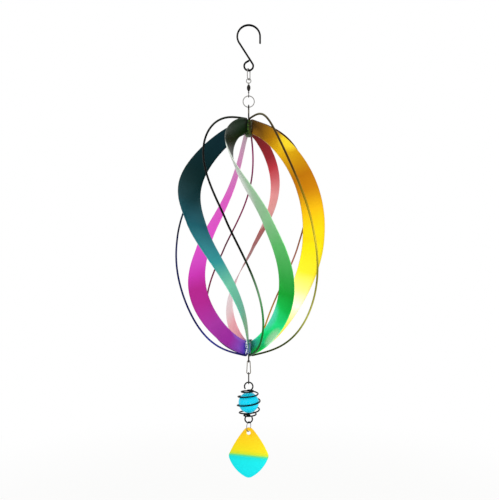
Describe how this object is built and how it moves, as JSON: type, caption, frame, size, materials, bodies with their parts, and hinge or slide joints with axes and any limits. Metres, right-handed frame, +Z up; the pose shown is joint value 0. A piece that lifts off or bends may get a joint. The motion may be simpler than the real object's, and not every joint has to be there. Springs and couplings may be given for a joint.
{
  "type": "wind spinner",
  "caption": "Hanging garden wind spinner: twisted coloured blades and bowed wires between two hubs on a swivel, with a caged glass marble and a kite-shaped pendant below.",
  "frame": {"origin": "the hook's seat, the inner top of the hook's bend, where a branch or bracket bears", "axes": "+Z up along the hanging axis, +X across the hook's bend towards its open side, -Y to the front"},
  "size_m": [0.185, 0.1919, 0.5531],
  "materials": {
    "black_paint": "semi-gloss black",
    "silver_wire": "bright plated wire",
    "dark_steel": "darkened steel",
    "hub_paint": "gloss dark green",
    "yellow_paint": "metallic gloss, graded brown to yellow",
    "green_paint": "metallic gloss, graded dark green to aqua",
    "teal_paint": "metallic gloss, graded dark teal to grey green",
    "magenta_paint": "metallic gloss, graded pink to violet",
    "red_paint": "metallic gloss, graded crimson to pale pink",
    "gold_wire_paint": "metallic gloss olive gold",
    "green_wire_paint": "metallic gloss dark green",
    "navy_wire_paint": "metallic gloss navy",
    "plum_wire_paint": "metallic gloss plum",
    "copper_wire_paint": "metallic gloss copper red",
    "cyan_glass": "clear cyan glass",
    "pendant_paint": "gloss, yellow above and cyan below"
  },
  "bodies": {
    "hook": {"s_hook": "black_paint"},
    "link": {"connector_link": "silver_wire"},
    "swivel_top": {"swivel_top_eye": "silver_wire"},
    "barrel": {"swivel_barrel": "dark_steel"},
    "swivel_bottom": {"swivel_bottom_eye": "dark_steel"},
    "ring": {"split_ring": "silver_wire"},
    "spinner": {"top_eye": "dark_steel", "top_hub": "hub_paint", "blade_yellow": "yellow_paint", "blade_green": "green_paint", "blade_teal": "teal_paint", "blade_magenta": "magenta_paint", "blade_red": "red_paint", "wire_gold": "gold_wire_paint", "wire_green": "green_wire_paint", "wire_navy": "navy_wire_paint", "wire_plum": "plum_wire_paint", "wire_copper": "copper_wire_paint", "bottom_hub": "hub_paint", "bottom_eye": "dark_steel"},
    "pear": {"pear_link": "silver_wire"},
    "lower_link": {"dark_link": "dark_steel"},
    "cage": {"marble_cage": "black_paint"},
    "ball": {"marble": "cyan_glass"},
    "pendant_ring": {"jump_ring": "silver_wire"},
    "pendant_plate": {"pendant": "pendant_paint"}
  },
  "joints": [
    {"name": "link_on_hook", "type": "hinge", "parent": "hook", "child": "link", "pos_m": [0, 0, -0.0543], "axis": [1, 0, 0], "range_deg": [-45, 45]},
    {"name": "swivel_on_link", "type": "hinge", "parent": "link", "child": "swivel_top", "pos_m": [0, 0, -0.06555], "axis": [0.5736, 0.8192, 0], "range_deg": [-45, 45]},
    {"name": "barrel_turn", "type": "hinge", "parent": "swivel_top", "child": "barrel", "pos_m": [0, 0, -0.07205], "axis": [0, 0, 1], "continuous": true},
    {"name": "spinner_turn", "type": "hinge", "parent": "barrel", "child": "swivel_bottom", "pos_m": [0, 0, -0.07885], "axis": [0, 0, 1], "continuous": true},
    {"name": "ring_on_swivel", "type": "hinge", "parent": "swivel_bottom", "child": "ring", "pos_m": [0, 0, -0.0867], "axis": [0, 1, 0], "range_deg": [-45, 45]},
    {"name": "spinner_on_ring", "type": "hinge", "parent": "ring", "child": "spinner", "pos_m": [0, 0, -0.09905], "axis": [1, 0, 0], "range_deg": [-40, 40]},
    {"name": "pear_on_spinner", "type": "hinge", "parent": "spinner", "child": "pear", "pos_m": [0, 0, -0.4099], "axis": [0, 1, 0], "range_deg": [-40, 40]},
    {"name": "lower_link_on_pear", "type": "hinge", "parent": "pear", "child": "lower_link", "pos_m": [0, 0, -0.4246], "axis": [1, 0, 0], "range_deg": [-45, 45]},
    {"name": "cage_on_link", "type": "hinge", "parent": "lower_link", "child": "cage", "pos_m": [0, 0, -0.43635], "axis": [0, 1, 0], "range_deg": [-40, 40]},
    {"name": "marble_turn", "type": "hinge", "parent": "cage", "child": "ball", "pos_m": [0, 0, -0.45935], "axis": [0, 0, 1], "continuous": true},
    {"name": "pendant_ring_on_cage", "type": "hinge", "parent": "cage", "child": "pendant_ring", "pos_m": [0, 0, -0.48415], "axis": [1, 0, 0], "range_deg": [-50, 50]},
    {"name": "pendant_on_ring", "type": "hinge", "parent": "pendant_ring", "child": "pendant_plate", "pos_m": [0, 0, -0.49465], "axis": [0.4226, 0.9063, 0], "range_deg": [-50, 50]}
  ]
}
